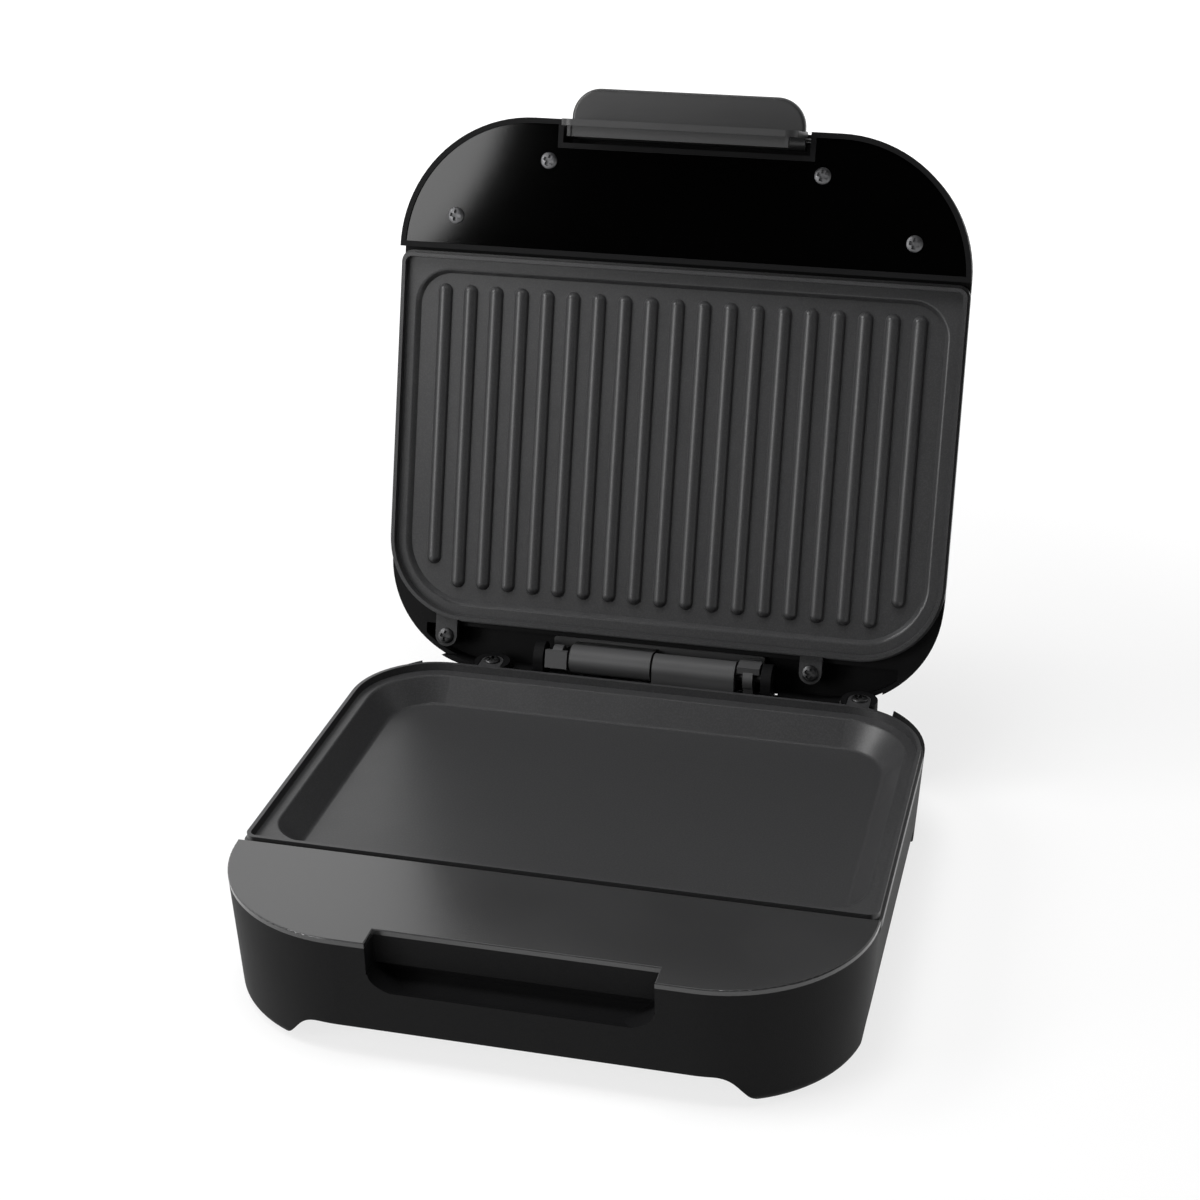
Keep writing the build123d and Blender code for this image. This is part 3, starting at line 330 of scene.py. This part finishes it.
def set_screws(name, body, finish, groups):
    """One mesh of screws on a body, in the places of its CAD nodes, each with its axis."""
    items = screw_tree.interface.items_tree
    inputs = {item.name: item.identifier for item in items if item.in_out == "INPUT"}
    merged = bmesh.new()
    for seed, (node, axis) in enumerate(groups, FIRST_SEED):
        places, radius, length = screw_places(node, axis)
        points = bpy.data.meshes.new("places")
        points.from_pydata(places, [], [])
        holder = bpy.data.objects.new("places", points)
        bpy.context.scene.collection.objects.link(holder)
        maker = holder.modifiers.new("screws", "NODES")
        maker.node_group = screw_tree
        maker[inputs["Head Radius"]] = radius
        maker[inputs["Shank Length"]] = length
        maker[inputs["Axis"]] = tuple(axis)
        maker[inputs["Seed"]] = seed
        maker[inputs["Finish"]] = finish
        made = holder.evaluated_get(bpy.context.evaluated_depsgraph_get())
        merged.from_mesh(bpy.data.meshes.new_from_object(made))
        holder.modifiers.clear()
        bpy.data.objects.remove(holder)
    mesh = bpy.data.meshes.new(name)
    merged.to_mesh(mesh)
    merged.free()
    mesh.materials.append(finish)
    mesh.shade_smooth()
    mesh.set_sharp_from_angle(angle=SMOOTH_ANGLE)
    piece = bpy.data.objects.new(name, mesh)
    bpy.context.scene.collection.objects.link(piece)
    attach(piece, body)
    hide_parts(*[node for node, _ in groups])


def plated(name, worn_by, color, roughness, scratch_scale=900.0):
    """Metal with a fine brushed unevenness."""
    smoothest, roughest = roughness * 0.8, roughness * 1.25
    darker = tuple(channel * 0.8 for channel in color)
    material, shader = new_finish(name, worn_by, color, roughness)
    shader.inputs["Metallic"].default_value = 1.0
    marks = cloud(material, scratch_scale)
    sheen = spread(material, marks, smoothest, roughest)
    material.node_tree.links.new(sheen, shader.inputs["Roughness"])
    tint(material, shader, spread(material, marks, 0.0, 1.0), darker, color)
    relief(material, shader, marks, depth=0.00002)
    return material


up = Vector((0.0, 0.0, 1.0))
hinge = next(joint for joint in frame["joints"] if joint["name"] == "lid_hinge")
open_turn = Matrix.Rotation(-radians(hinge["range_deg"][1]), 3, "X")
lid_axis = open_turn @ -up
zinc = plated("zinc_plate", (), color=(0.17, 0.17, 0.175), roughness=0.5)
black_oxide = plated("black_oxide", (), color=(0.1, 0.1, 0.102), roughness=0.45)
set_screws("lid_deck_cross_screws", "lid", zinc, (("lid_deck_screws", lid_axis),))
set_screws(
    "underside_cross_screws", "base", zinc,
    (("bottom_cover_screws", -up), ("base_deck_screws", -up)),
)
set_screws(
    "base_plate_and_leaf_screws", "base", black_oxide,
    (("lower_plate_screws", up), ("base_hinge_screws", up)),
)
set_screws(
    "lid_plate_and_leaf_screws", "lid", black_oxide,
    (("upper_plate_screws", lid_axis), ("lid_hinge_screws", lid_axis)),
)

# Latch: one moulding in the case's black plastic, with a smooth satin face for the thumb.
# It turns on two steel pins between the walls of the lid's notch.
# Its toe hooks under the base's lip.

moulded(
    "latch_satin", ("latch_handle",), color=(0.03, 0.03, 0.0305),
    grain_scale=1500.0, grain_depth=0.00002, roughness=0.4,
)

# Hinge: two interleaved leaves moulded in filled nylon, one screwed to each case.
# One long steel pin runs through both leaves and the base's two cheeks.
# The two short pins of the latch are of the same steel.

moulded(
    "hinge_nylon", ("base_hinge_leaf", "lid_hinge_leaf"), color=(0.06, 0.06, 0.061),
    grain_scale=1500.0, grain_depth=0.00003, roughness=0.4,
)
plated("pin_steel", ("hinge_pin", "latch_pins"), color=(0.12, 0.12, 0.122), roughness=0.35)

# Heating parts: looped tubes clamped under the plates by straps, with a bright pan behind each.
# The tubes are annealed steel, tanned by heat, and the pans are aluminised sheet.

plated(
    "strap_steel", ("lower_element_straps", "upper_element_straps"),
    color=(0.5, 0.5, 0.5), roughness=0.45,
)
plated(
    "annealed_tube", ("lower_element", "upper_element"),
    color=(0.2, 0.17, 0.14), roughness=0.5, scratch_scale=600.0,
)
plated(
    "aluminised_sheet", ("lower_reflector", "upper_reflector"),
    color=(0.72, 0.72, 0.72), roughness=0.32, scratch_scale=300.0,
)

# Electrical parts: thermostats, fuse, terminal block, lamp holder and the two lenses.
# The first five are heat-resistant pale mouldings, the lenses tinted polycarbonate.

moulded(
    "heat_resin",
    ("terminal_block", "lamp_holder", "lower_thermostat", "upper_thermostat", "thermal_fuse"),
    color=(0.7, 0.68, 0.62), grain_scale=1500.0, grain_depth=0.00002, roughness=0.5,
)
for lens_name, lens_node, lens_color in (
    ("red_lens", "power_lens", (0.42, 0.008, 0.008)),
    ("green_lens", "ready_lens", (0.01, 0.26, 0.035)),
):
    moulded(
        lens_name, (lens_node,), lens_color,
        grain_scale=2000.0, grain_depth=0.000005, roughness=0.14, gloss_level=0.3,
    )

# Rubber: the four pads pressed into the feet, and the bushing in the rear wall.
# Both are moulded in a soft black compound with a matt face.

moulded(
    "rubber", ("foot_pads", "cord_bushing"), color=(0.018, 0.018, 0.018),
    grain_scale=1200.0, grain_depth=0.00008, roughness=0.78, gloss_level=0.3,
)

# Floor: a plain pale sheet that shows white to the camera and in reflections.
# Near the object a share of its own shading stays, which keeps the soft shadow.

FLOOR_REACH = 6.0
FLOOR_DROP = 0.0002
FLOOR_GREY = 0.6
FLOOR_GLOW = 0.62
GLOW_STRENGTH = 1.25
SHADOW_REACH = 0.3
WHITE = (1.0, 1.0, 1.0, 1.0)
floor_mesh = bpy.data.meshes.new("floor")
floor_corners = [
    (x * FLOOR_REACH, y * FLOOR_REACH, -FLOOR_DROP) for x, y in ((-1, -1), (1, -1), (1, 1), (-1, 1))
]
floor_mesh.from_pydata(floor_corners, [], [(0, 1, 2, 3)])
floor = bpy.data.objects.new("floor", floor_mesh)
bpy.context.scene.collection.objects.link(floor)
floor_paint = bpy.data.materials.new("floor_paint")
floor_paint.use_nodes = True
paint_tree = floor_paint.node_tree
floor_shader = paint_tree.nodes["Principled BSDF"]
floor_shader.inputs["Base Color"].default_value = (FLOOR_GREY, FLOOR_GREY, FLOOR_GREY, 1.0)
floor_shader.inputs["Roughness"].default_value = 0.9
floor_shader.inputs["Specular IOR Level"].default_value = 0.0


def seen_rays(tree):
    """1 for rays of the camera, of reflections and of clear pieces, 0 for those that only light."""
    rays = node_of(tree, "ShaderNodeLightPath").outputs
    total = rays["Is Camera Ray"]
    for other in ("Is Glossy Ray", "Is Transmission Ray"):
        both = node_of(tree, "ShaderNodeMath", operation="MAXIMUM")
        tree.links.new(total, both.inputs[0])
        tree.links.new(rays[other], both.inputs[1])
        total = both.outputs["Value"]
    return total


floor_point = node_of(paint_tree, "ShaderNodeTexCoord")
distance = node_of(paint_tree, "ShaderNodeVectorMath", operation="LENGTH")
paint_tree.links.new(floor_point.outputs["Object"], distance.inputs["Vector"])
fade_limits = (
    ("From Min", SHADOW_REACH), ("From Max", 3.0 * SHADOW_REACH),
    ("To Min", FLOOR_GLOW), ("To Max", 1.0),
)
fade = node_of(paint_tree, "ShaderNodeMapRange", fade_limits, interpolation_type="SMOOTHSTEP")
paint_tree.links.new(distance.outputs["Value"], fade.inputs["Value"])
share = node_of(paint_tree, "ShaderNodeMath", operation="MULTIPLY")
paint_tree.links.new(seen_rays(paint_tree), share.inputs[0])
paint_tree.links.new(fade.outputs["Result"], share.inputs[1])
glow = node_of(paint_tree, "ShaderNodeEmission", (("Color", WHITE), ("Strength", GLOW_STRENGTH)))
blend = node_of(paint_tree, "ShaderNodeMixShader")
paint_tree.links.new(share.outputs["Value"], blend.inputs["Fac"])
paint_tree.links.new(floor_shader.outputs["BSDF"], blend.inputs[1])
paint_tree.links.new(glow.outputs["Emission"], blend.inputs[2])
paint_output = paint_tree.nodes["Material Output"]
paint_tree.links.new(blend.outputs["Shader"], paint_output.inputs["Surface"])
floor_mesh.materials.append(floor_paint)

# Studio: a surround that is white for the camera and behind the object, dim as a light, and
# dark in front for reflections. Five soft lamps stand round it. The top one stays out of
# reflections, and the low left one shows only in them, as the sheen on the lid's deck.

SURROUND_LIGHT = 0.18
FRONT_DARK = 0.01
FRONT_END = -0.4
BACK_START = 0.6
world = bpy.data.worlds.new("studio")
world.use_nodes = True
bpy.context.scene.world = world
room = world.node_tree
surround = room.nodes["Background"]
surround.inputs["Color"].default_value = WHITE
direction = node_of(room, "ShaderNodeTexCoord")
axes = node_of(room, "ShaderNodeSeparateXYZ")
room.links.new(direction.outputs["Generated"], axes.inputs["Vector"])
ramp_limits = (
    ("From Min", FRONT_END), ("From Max", BACK_START), ("To Min", FRONT_DARK), ("To Max", 1.0)
)
depth_ramp = node_of(room, "ShaderNodeMapRange", ramp_limits, interpolation_type="SMOOTHSTEP")
room.links.new(axes.outputs["Y"], depth_ramp.inputs["Value"])
room_rays = node_of(room, "ShaderNodeLightPath").outputs


def choose(chooser, when_zero, when_one):
    """when_one where chooser is 1 and when_zero where it is 0, each a socket or a number."""
    mix = node_of(room, "ShaderNodeMix", data_type="FLOAT")
    room.links.new(chooser, mix.inputs["Factor"])
    for slot, value in (("A", when_zero), ("B", when_one)):
        if isinstance(value, float):
            mix.inputs[slot].default_value = value
        else:
            room.links.new(value, mix.inputs[slot])
    return mix.outputs["Result"]


strength = choose(room_rays["Is Glossy Ray"], SURROUND_LIGHT, depth_ramp.outputs["Result"])
strength = choose(room_rays["Is Transmission Ray"], strength, 1.0)
strength = choose(room_rays["Is Camera Ray"], strength, 1.0)
room.links.new(strength, surround.inputs["Strength"])


def softbox(name, place, aim, size, power, outline="RECTANGLE", lights=True, mirrored=True):
    """A flat lamp at place that faces aim, and may be left out of light or of reflections."""
    lamp = bpy.data.lights.new(name, "AREA")
    lamp.shape = outline
    lamp.size, lamp.size_y = size
    lamp.energy = power
    holder = bpy.data.objects.new(name, lamp)
    holder.location = place
    holder.rotation_mode = "QUATERNION"
    holder.rotation_quaternion = (Vector(place) - Vector(aim)).to_track_quat("Z", "Y")
    holder.visible_camera = False
    holder.visible_diffuse = lights
    holder.visible_glossy = mirrored
    bpy.context.scene.collection.objects.link(holder)


MIDDLE = (0.0, 0.0, 0.1)
softbox("key", (-1.0, -0.3, 1.1), MIDDLE, size=(0.5, 0.5), power=8.0)
softbox("top", (-0.15, -0.15, 1.6), MIDDLE, size=(0.6, 0.6), power=15.0, mirrored=False)
softbox(
    "low_left", (-0.815, -1.3, 0.77), aim=(-0.1, 0.1, 0.25), size=(0.6, 0.6), power=4.0,
    outline="DISK", lights=False,
)
softbox("side_strip", (-1.0, -0.86, 0.46), aim=(0.0, 0.1, 0.2), size=(0.42, 0.75), power=7.0)
softbox("back_left", (-0.68, 1.2, 0.98), aim=(-0.1, -0.14, 0.05), size=(0.3, 0.3), power=0.16)

# Camera: a long lens in front of the object, a little to the right and above.
# Its place was worked out from the case's outline in the photograph.

CAMERA_PLACE = (0.20282, -0.831427, 0.521174)
CAMERA_AZIMUTH = radians(14.125)
CAMERA_ELEVATION = radians(25.116)
CAMERA_ROLL = radians(-0.438)
camera_data = bpy.data.cameras.new("camera")
camera_data.sensor_width = 36.0
camera_data.lens = 69.62
camera = bpy.data.objects.new("camera", camera_data)
bpy.context.scene.collection.objects.link(camera)
back = Vector((
    sin(CAMERA_AZIMUTH) * cos(CAMERA_ELEVATION),
    -cos(CAMERA_AZIMUTH) * cos(CAMERA_ELEVATION),
    sin(CAMERA_ELEVATION),
))
roll = Matrix.Rotation(CAMERA_ROLL, 3, "Z").to_quaternion()
camera.rotation_mode = "QUATERNION"
camera.rotation_quaternion = back.to_track_quat("Z", "Y") @ roll
camera.location = CAMERA_PLACE
bpy.context.scene.camera = camera

bpy.context.scene.view_settings.view_transform = "Standard"
